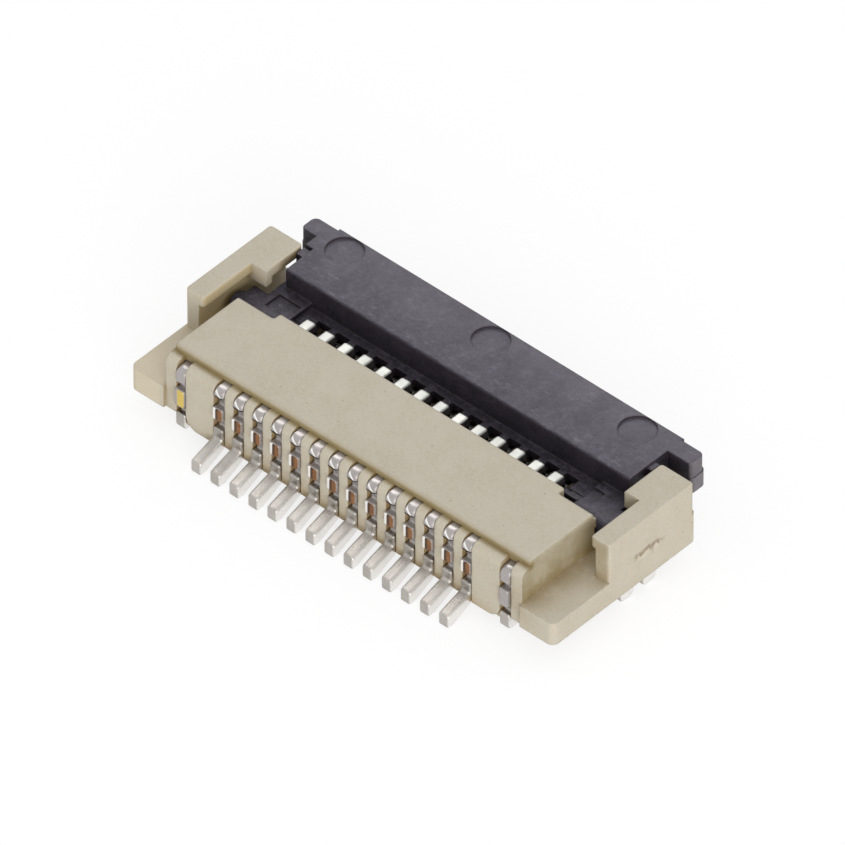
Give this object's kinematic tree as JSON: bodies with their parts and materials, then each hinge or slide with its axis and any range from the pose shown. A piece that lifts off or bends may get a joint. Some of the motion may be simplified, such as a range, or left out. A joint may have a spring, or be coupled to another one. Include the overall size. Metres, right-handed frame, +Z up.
{
  "type": "fpc connector",
  "caption": "Right-angle board connector for a flat flexible circuit: pale comb housing, dark flip-lock lever, forked plated contacts and solder tabs.",
  "frame": {"origin": "on the board plane, under the middle of the whole part", "axes": "+X along the contact row, +Y towards the circuit entry and the lever's free edge, +Z up from the board"},
  "size_m": [0.011, 0.0056, 0.002],
  "materials": {
    "housing_plastic": "fine moulded, warm pale beige",
    "lever_plastic": "moulded, dark grey with faint scuffs",
    "plated_metal": "bright tin plating over a copper alloy, bare at the sheared carrier cuts"
  },
  "bodies": {
    "base": {"housing": "housing_plastic", "contact_01": "plated_metal", "contact_02": "plated_metal", "contact_03": "plated_metal", "contact_04": "plated_metal", "contact_05": "plated_metal", "contact_06": "plated_metal", "contact_07": "plated_metal", "contact_08": "plated_metal", "contact_09": "plated_metal", "contact_10": "plated_metal", "contact_11": "plated_metal", "contact_12": "plated_metal", "contact_13": "plated_metal", "contact_14": "plated_metal", "end_contact_left": "plated_metal", "end_contact_right": "plated_metal", "solder_tab_left": "plated_metal", "solder_tab_right": "plated_metal"},
    "lever": {"actuator": "lever_plastic"}
  },
  "joints": [
    {"name": "lever_flip", "type": "hinge", "parent": "base", "child": "lever", "pos_m": [0, 0.00042, 0.00125], "axis": [1, 0, 0], "range_deg": [0, 90]}
  ]
}
